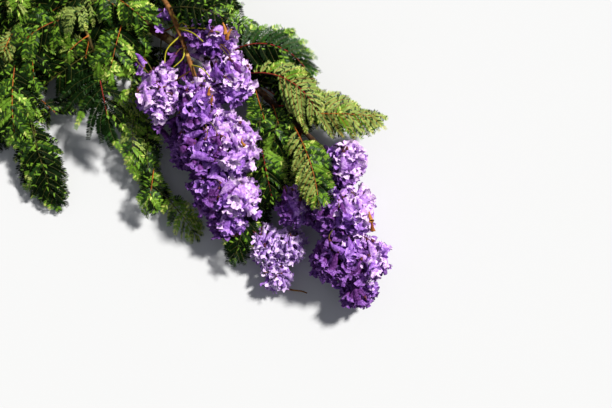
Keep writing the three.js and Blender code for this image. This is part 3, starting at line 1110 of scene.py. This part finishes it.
# Each panicle: its masses and how much light or shade is painted on the flowers of each, the flowers' size
# and shape, how far out on the masses they open, and the main stalk's route. The panicle of slender flowers
# is painted lit where the shadow of the next panicle falls on it
Panicle = namedtuple("Panicle", "masses size kind spread route")
MASSES_A = {"top": 0.05, "left": 0.7, "right": 0.15, "centre": 0.1, "waist": 0.05, "low": 0, "end": -0.1}
PANICLES = {
    "a": Panicle(
        {**MASSES_A, "shade": -0.5},
        0.88,
        "flower",
        0.94,
        [[278, -118, 98], [284, -150, 84], [304, -200, 64], [314, -262, 54], [313, -320, 36]],
    ),
    "b": Panicle(
        {"top": 0.05, "left": -0.2, "middle": -0.1, "low": -0.25, "end": -0.5},
        0.88,
        "flower",
        0.93,
        [[456, -213, 62], [480, -248, 62], [482, -300, 56], [490, -360, 48], [502, -408, 32]],
    ),
    "c": Panicle(
        {"stem": 0.95, "side": 1.0, "end": 0.9},
        0.62,
        "star",
        1.12,
        [[353, -322, 34], [366, -340, 27], [380, -362, 24], [388, -392, 20]],
    ),
}
# The colours of a flower of each tone: two each for its tube, its lobes and its throat. The tones are lit and
# shaded copies of one violet: light is painted lit, deep is painted shade, middle lies between, and the
# slender flowers have a lit copy of their own
FLOWER_TONES = {
    "light": [("#9660c0", "#cfa8e8"), ("#c496e4", "#f8e2fc"), ("#d8bcec", "#faf0fd")],
    "middle": [("#6c389c", "#a272cc"), ("#8a56ba", "#c79cea"), ("#a87ecc", "#dfc6f2")],
    "young": [("#8a60b2", "#bd9cdc"), ("#b892dc", "#ecd8f9"), ("#ccb0e8", "#f2e4fb")],
    "deep": [("#421656", "#76408e"), ("#58287c", "#9c6cc0"), ("#6c3c8c", "#a87ec2")],
}
LIT_SIDE = unit(np.array([0.8, 0.42, 0.42]))
TIPWARD = np.array([0.12, -1.0, -0.1])
BLOOM_SPACING = 17.5
TOP_INSET = 0.86
LIGHT_ABOVE = 0.42
DEEP_BELOW = -0.08
# Flowers deep inside a mass, all of the deep tone as painted shade: how many for each outer one, how far out
# they open, and their size
INNER_SHARE = 0.2
INNER_SPREAD = 0.68
INNER_SIZE = 0.9
# How much light or shade is painted on a flower: what each has, what its side of the mass adds or takes as it
# faces the light or away from it, and what chance does
LIGHT_BASE = 0.1
LIGHT_SWING = 0.9
LIGHT_CHANCE = 0.26
# How unevenly the mouths lie on a mass, and the share of them that is left out on its underside
MOUTH_STRAY = 0.12
MOUTH_DEPTHS = (0.78, 1.02)
BLOOM_SIZES = (0.85, 1.12)
UNDERSIDE = -0.3
LEFT_OUT_BELOW = 0.6
CORE = 0.86
# How strongly a flower leans towards the panicle's tip: some nod, and those at a mass's top hardly lean
NODDING_SHARE = 0.3
NODDING = 1.0
LEANING = 0.32
TOP_SIDE = 0.4
TOP_LEANING = 0.1
FLATTENED = (1.0, 1.0, 0.72)
AIM_STRAY = 0.34
BACK_STRAY = 0.4
FOOT_LIFT = 8
LOWEST_FOOT = 7.0
# The panicles' stalks
AXIS_RADII = (3.0, 1.2)
ABOVE_MASS = (0, 14, 0)
SIDE_STALKS = 6
SIDE_STALK_RADII = (1.4, 0.8)
SIDE_STALK_BOW = (0, 4, -3)
LOWEST_STALK = 6
STALK_POINTS = 9
PEDICEL_RADII = (0.68, 0.6)

# Dried flowers: the mass that each clings to, and its place seen from above
DRIED = [
    ("a_top", 311, -37),
    ("a_top", 318, -45),
    ("a_top", 322, -53),
    ("a_centre", 294, -132),
    ("a_centre", 299, -144),
    ("a_waist", 340, -203),
    ("b_middle", 517, -304),
    ("b_middle", 520, -316),
]
# Flowers beside the long panicle's stem: where each opens, and how much light or shade is painted on it
STEM_BLOOMS = [
    (246, -64, 84, 0),
    (266, -54, 80, 0.1),
    (272, -70, 84, 0.2),
    (254, -90, 80, 0),
    (282, -82, 92, 0.2),
    (290, -70, 96, 0.1),
    (292, -94, 92, -0.2),
    (244, -80, 78, -0.2),
    (286, -104, 92, 0.2),
    (262, -104, 84, 0),
    (250, -104, 90, 0.2),
    (238, -95, 94, 0.2),
    (296, -108, 96, 0.1),
    (214, -168, 58, 0.3),
    (226, -180, 54, 0.2),
    (240, -172, 62, 0.5),
    (230, -194, 46, 0),
    (244, -190, 56, 0.4),
    (250, -180, 70, 0.5),
]
STEM_CLEARANCE = 13
CALYX_REACH = 0.9
# Single flowers at the long panicle's end: the calyx end, the mouth, the size, and the tone
END_BLOOMS = [
    ([316, -294, 66], [309, -326, 60], 0.74, "light"),
    ([336, -276, 84], [358, -306, 72], 0.84, "light"),
    ([346, -288, 70], [366, -316, 60], 0.76, "middle"),
    ([300, -300, 52], [304, -330, 46], 0.74, "deep"),
]
# Bare yellow-green stalks at the long panicle's top: the share along its stem, how far each bows, and its end
FORKS = [
    (0.66, [2, -4, 3], [267, -41, 104]),
    (0.75, [4, 3, 8], [311, -52, 128]),
    (0.75, [4, 3, 8], [288, -64, 122]),
    (0.84, [8, -3, 4], [246, -97, 98]),
    (0.93, [2, 5, 6], [297, -112, 124]),
    (0.79, [-10, 2, 2], [233, -94, 92]),
]
FORK_RADII = (1.15, 0.75)

Bloom = namedtuple("Bloom", "foot aim back size form tone")


def even_directions(count):
    """Directions spread evenly over a ball."""
    number = np.arange(count) + 0.5
    height = 1 - 2 * number / count
    turn = math.pi * (1 + 5**0.5) * number
    flat = np.sqrt(1 - height**2)
    return np.stack([flat * np.cos(turn), flat * np.sin(turn), height], axis=-1)


def tone_of(out, painted_light, rng):
    """Blooms are painted lighter where they face the light, and deep violet as painted shade on the far side.
    """
    score = LIGHT_BASE + LIGHT_SWING * float(out @ LIT_SIDE) + painted_light + rng.normal(0, LIGHT_CHANCE)
    if score > LIGHT_ABOVE:
        return "light"
    return "middle" if score > DEEP_BELOW else "deep"


def shade_at(place):
    return sum(depth for middle, half, depth in SHADED if in_opening(place, [(middle, half)]))


def inside_another(place, boxes, own):
    """Whether a place lies well inside one of the other masses."""
    others = [box for number, box in enumerate(boxes) if number != own]
    return any((((place - middle) / (half * CORE)) ** 2).sum() < 1 for middle, half in others)


def panicle_blooms(letter, forms, rng):
    """The flowers of one panicle: their mouths lie on its masses, and lean towards its tip."""
    masses, size, kind, spread, _ = PANICLES[letter]
    boxes = [node_box(f"blossom_{letter}_{mass}") for mass in masses]
    blooms = []
    for own, painted_light in enumerate(masses.values()):
        middle, half = boxes[own]
        area = 4 * math.pi * (half.prod() ** (2 / 3))
        count = max(6, round(area / (BLOOM_SPACING * size) ** 2))
        for out in even_directions(count):
            out = unit(out + rng.normal(0, MOUTH_STRAY, 3))
            if out[2] < UNDERSIDE and rng.random() < LEFT_OUT_BELOW:
                continue
            inset = np.array([1, 1, TOP_INSET if out[2] > 0 else 1])
            mouth = middle + half * out * spread * rng.uniform(*MOUTH_DEPTHS) * inset
            if inside_another(mouth, boxes, own) or in_opening(mouth, BLOSSOM_OPENINGS):
                continue
            tone = tone_of(out, painted_light - shade_at(mouth), rng)
            if kind == "star" and tone == "light":
                tone = "young"
            bloom = bloom_at(mouth, out, size * rng.uniform(*BLOOM_SIZES), tone, forms, rng)
            blooms.append(held_in(bloom, middle, half, letter == "a"))
        # The flowers inside the mass all take the deep tone: painted shade.
        for out in even_directions(round(count * INNER_SHARE)):
            mouth = middle + half * out * INNER_SPREAD
            blooms.append(bloom_at(mouth, out, size * INNER_SIZE, "deep", forms, rng))
    return blooms


def bloom_at(mouth, out, size, tone, forms, rng):
    """A flower whose mouth is at a place. It faces outwards and more or less towards the panicle's tip."""
    tipward = NODDING if rng.random() < NODDING_SHARE else LEANING
    if out[1] > TOP_SIDE:
        tipward = TOP_LEANING
    aim = unit(out * FLATTENED + TIPWARD * tipward + rng.normal(0, AIM_STRAY, 3))
    back = unit(out + rng.normal(0, BACK_STRAY, 3))
    back = unit(back - aim * (back @ aim))
    foot = mouth - aim * TUBE_LENGTH * size + back * FOOT_LIFT * size
    foot[2] = max(foot[2], LOWEST_FOOT)
    return Bloom(foot, aim, back, size, int(rng.integers(forms)), tone)


def held_in(bloom, middle, half, by_stem):
    """Keeps a bloom's foot inside its mass's sides, and the bloom below the stem that crosses in front."""
    foot = bloom.foot.copy()
    aside = (foot - middle)[:2] / half[:2]
    foot[:2] -= aside * half[:2] * max(0.0, 1 - CALYX_REACH / np.linalg.norm(aside))
    if by_stem:
        stem = limb_point("stem_a", np.linspace(0.4, 0.98, 40))
        for length in (0, 15, 28):
            place = foot + bloom.aim * length * bloom.size
            gap = np.linalg.norm(stem[:, :2] - place[:2], axis=1)
            if gap.min() < STEM_CLEARANCE - 3:
                foot[2] -= max(0.0, place[2] - stem[np.argmin(gap), 2] + STEM_CLEARANCE)
    return bloom._replace(foot=foot)


def outlying_blooms(forms, rng):
    """One or two flowers in each small cluster that stands apart from the long panicle."""
    blooms = []
    for node in ("bloom_by_bough", "bloom_by_stem"):
        middle, half = node_box(node)
        for out in (np.array([-0.3, -0.9, 0.3]), np.array([0.4, 0.3, 0.9])):
            blooms.append(bloom_at(middle + half * unit(out), unit(out), 0.6, "middle", forms, rng))
    return blooms


def stem_blooms(forms, rng):
    """Flowers on short stalks round the long panicle's stem, above its first full cluster."""
    blooms = []
    stem = limb_point("stem_a", np.linspace(0, 1, 40))
    for *mouth, painted_light in STEM_BLOOMS:
        mouth = np.array(mouth, float)
        out = unit(mouth - nearest_on(stem, mouth) + (0, 0, 4))
        size = 0.72 * rng.uniform(0.85, 1.1)
        bloom = bloom_at(mouth, out, size, tone_of(out, painted_light, rng), forms, rng)
        blooms.append(held_in(bloom, mouth, np.full(3, 30.0), True))
    return blooms


def end_blooms(forms, rng):
    blooms = []
    for foot, mouth, size, tone in END_BLOOMS:
        aim = unit(np.array(mouth, float) - foot)
        back = unit(np.cross(aim, (1, 0, 0)))
        blooms.append(Bloom(np.array(foot, float), aim, back, size, int(rng.integers(forms)), tone))
    return blooms


def bud_places(size, nodes, rng):
    """Closed buds stand among the flowers, on the upper side of each of the panicle's masses, leaning to its
    tip.
    """
    points = []
    for node in nodes:
        middle, half = node_box(node)
        for out in even_directions(5 if half.max() > 30 else 3):
            out = unit(out + rng.normal(0, 0.3, 3))
            out[2] = abs(out[2])
            aim = unit(out + TIPWARD * 0.8)
            back = unit(np.cross(aim, rng.normal(0, 1, 3)))
            foot = middle + half * out * 0.92 - aim * 18 * size
            foot[2] = max(foot[2], 6)
            forms = FAMILIES["bud"][1]
            points.append(Bloom(foot, aim, back, size * rng.uniform(0.6, 1.0), int(rng.integers(forms)), ""))
    return points


def dried_places(rng):
    """Dried flowers lie on the upper face of the masses that they cling to."""
    points = []
    for mass, x, y in DRIED:
        middle, half = node_box("blossom_" + mass)
        aside = (np.array([x, y]) - middle[:2]) / half[:2]
        height = middle[2] + half[2] * math.sqrt(max(0.1, 1 - float(aside @ aside))) * TOP_INSET
        aim = unit(np.array([rng.normal(0, 0.6), -1.0, rng.normal(0, 0.3)]))
        back = unit(np.cross(aim, rng.normal(0, 1, 3)))
        foot = np.array([x, y, height]) - aim * 8
        forms = FAMILIES["dried"][1]
        points.append(Bloom(foot, aim, back, rng.uniform(0.6, 0.85), int(rng.integers(forms)), ""))
    return points


def petal_materials(tone):
    names = ("tube", "lobes", "throat")
    return [petal_finish(f"petal_{name}_{tone}", *pair) for name, pair in zip(names, FLOWER_TONES[tone])]


def scatter(name, blooms, shapes, materials, nodes):
    """One piece: a shape of the family on each bloom's place."""
    mesh = point_mesh(
        [b.foot for b in blooms],
        aim=[b.aim for b in blooms],
        upward=[b.back for b in blooms],
        size=[float(b.size) for b in blooms],
        form=[b.form % len(shapes.objects) for b in blooms],
    )
    finishes = dict(zip(("Outer", "Rim", "Inner"), materials))
    piece = grow(name, mesh, SCATTER, {"Shapes": shapes, **finishes})
    finish_piece(piece, nodes)


def make_flowers():
    form_rng = np.random.default_rng(SEED + 2)
    families = {name: family(name, form_rng) for name in FAMILIES}
    petals = {tone: petal_materials(tone) for tone in FLOWER_TONES}
    plum = soft_tissue("calyx_plum", "#40182f", "#633236", 0.6)
    bud_violet = petal_finish("bud_violet", "#4c2673", "#7346a0")
    withered = soft_tissue("withered_petal", "#7a3f16", "#c58a3e", 0.7)
    stalk_green = soft_tissue("pedicel", "#5d5f22", "#7d552c", 0.55)
    axis_brown = soft_tissue("panicle_stalk", "#4d2f1b", "#74522a", 0.65)
    for number, (letter, panicle) in enumerate(PANICLES.items()):
        rng = np.random.default_rng([SEED, number])
        forms = FAMILIES[panicle.kind][1]
        blooms = panicle_blooms(letter, forms, rng)
        nodes = [f"blossom_{letter}_{mass}" for mass in panicle.masses]
        if letter == "a":
            nodes += ["bloom_by_bough", "bloom_by_stem"]
            blooms += outlying_blooms(forms, rng) + stem_blooms(forms, rng) + end_blooms(forms, rng)
        for tone in FLOWER_TONES:
            some = [b for b in blooms if b.tone == tone]
            if some:
                scatter(f"flowers_{letter}_{tone}", some, families[panicle.kind], petals[tone], nodes)
        scatter(f"calyces_{letter}", blooms, families["calyx"], [plum] * 3, nodes)
        skeleton = make_panicle_stalks(letter, axis_brown, nodes)
        make_pedicels(letter, blooms, skeleton, stalk_green, nodes)
        buds = bud_places(panicle.size, nodes, rng)
        scatter(f"buds_{letter}", buds, families["bud"], [bud_violet] * 3, nodes)
    dried_nodes = [f"blossom_{mass}" for mass in dict.fromkeys(row[0] for row in DRIED)]
    scatter("dried_flowers", dried_places(rng), families["dried"], [withered] * 3, dried_nodes)
    make_forks()
    for collection in families.values():
        for shape in list(collection.objects):
            bpy.data.objects.remove(shape)
        bpy.data.collections.remove(collection)


def make_forks():
    """Bare stalks that fork from the long panicle's stem, above its first flowers."""
    feet = [limb_point("stem_a", share) for share, _, _ in FORKS]
    lines = [bowed(foot, np.array(tip), bow, STALK_POINTS) for foot, (_, bow, tip) in zip(feet, FORKS)]
    radii = [np.linspace(*FORK_RADII, len(line)) for line in lines]
    green = soft_tissue("fork_green", "#a09c1e", "#c3b93c", 0.5)
    piece = grow_stalks("forked_stalks", lines, radii, green, sides=7, step=3)
    finish_piece(piece, ["stem_a"])


def make_panicle_stalks(letter, material, nodes):
    """The panicle's main stalk, and side stalks in each of its masses. Returns the points along them."""
    masses, size, _, _, route = PANICLES[letter]
    route = np.array(route, float)
    share = np.linspace(0, len(route) - 1, 60)
    main = np.stack([np.interp(share, np.arange(len(route)), route[:, i]) for i in range(3)], axis=-1)
    anchors = main
    if letter == "a":
        anchors = np.concatenate([main, limb_point("stem_a", np.linspace(0.5, 1, 60))])
    lines, radii = [main], [np.linspace(*AXIS_RADII, len(main)) * size]
    for mass in masses:
        middle, half = node_box(f"blossom_{letter}_{mass}")
        foot = nearest_on(anchors, middle + ABOVE_MASS)
        ends = [middle + half * out * 0.5 for out in even_directions(SIDE_STALKS)]
        for start, tip in [(foot, middle)] + [(middle, end) for end in ends]:
            tip[2] = max(tip[2], LOWEST_STALK)
            lines.append(bowed(start, tip, SIDE_STALK_BOW, STALK_POINTS))
            radii.append(np.linspace(*SIDE_STALK_RADII, STALK_POINTS) * size)
    piece = grow_stalks(f"panicle_stalks_{letter}", lines, radii, material, sides=7, step=5)
    finish_piece(piece, nodes)
    return np.concatenate([anchors, *lines[1:]])


def make_pedicels(letter, blooms, skeleton, material, nodes):
    """A thin stalk from the nearest part of the panicle to each flower."""
    lines = []
    for bloom in blooms:
        start = nearest_on(skeleton, bloom.foot - bloom.aim * 8)
        knee = bloom.foot - bloom.aim * 9
        end = bloom.foot - bloom.aim * 1.5
        line = cubic([start, mix(start, knee, 0.5), knee, end], np.linspace(0, 1, 6))
        line[:, 2] = np.maximum(line[:, 2], 2)
        lines.append(line)
    radii = [np.linspace(*PEDICEL_RADII, len(line)) for line in lines]
    piece = grow_stalks(f"pedicels_{letter}", lines, radii, material, sides=5, step=5)
    finish_piece(piece, nodes)


# The camera, the floor and the light

PHOTO_WIDTH = 612
PHOTO_HEIGHT = 408
MM_PER_PIXEL = 1.4
SHARP_HEIGHT = 60
LENS = 100
SENSOR = 36
FLOOR_HALF = 8.0
SUN_FROM = unit(np.array([0.54, 0.4, 0.74]))
SUN_STRENGTH = 5.4
SUN_WIDTH = 7
SUN_COLOUR = (1.0, 0.96, 0.9)
ROOM_STRENGTH = 0.2
ROOM_COLOUR = (0.92, 0.95, 1.0, 1.0)


def make_camera():
    """Straight down on the middle of the photograph's frame, at its own scale."""
    centre = metres([PHOTO_WIDTH / 2 * MM_PER_PIXEL, -PHOTO_HEIGHT / 2 * MM_PER_PIXEL, SHARP_HEIGHT])
    data = bpy.data.cameras.new("camera")
    data.lens = LENS
    data.sensor_width = SENSOR
    data.clip_end = 50
    camera = new_object("camera", data)
    distance = PHOTO_WIDTH * MM_PER_PIXEL * MM * LENS / SENSOR
    camera.location = (centre[0], centre[1], centre[2] + distance)
    bpy.context.scene.camera = camera


def make_floor():
    corners = [(FLOOR_HALF * x, FLOOR_HALF * y, 0) for x, y in ((-1, -1), (1, -1), (1, 1), (-1, 1))]
    mesh = bpy.data.meshes.new("floor")
    mesh.from_pydata(corners, [], [(0, 1, 2, 3)])
    material, _, shader = new_material("floor", roughness=0.9, specular=0.1)
    shader.inputs["Base Color"].default_value = srgb("#d3d6da")
    mesh.materials.append(material)
    floor = new_object("floor", mesh)


def make_light():
    """A broad warm key from the upper right, as the sun stands in the photograph, and a pale room."""
    key = bpy.data.lights.new("key", "SUN")
    key.energy = SUN_STRENGTH
    key.angle = math.radians(SUN_WIDTH)
    key.color = SUN_COLOUR
    lamp = new_object("key", key)
    lamp.rotation_mode = "QUATERNION"
    lamp.rotation_quaternion = Vector(SUN_FROM).to_track_quat("Z", "Y")
    world = bpy.data.worlds.new("room")
    world.use_nodes = True
    room = world.node_tree.nodes["Background"]
    room.inputs["Color"].default_value = ROOM_COLOUR
    room.inputs["Strength"].default_value = ROOM_STRENGTH
    bpy.context.scene.world = world
    bpy.context.scene.view_settings.view_transform = "Standard"


make_camera()
make_floor()
make_light()
limb_rng = np.random.default_rng(SEED)
for limb_name in LIMBS:
    make_limb(limb_name, limb_rng)
make_leaves()
make_flowers()
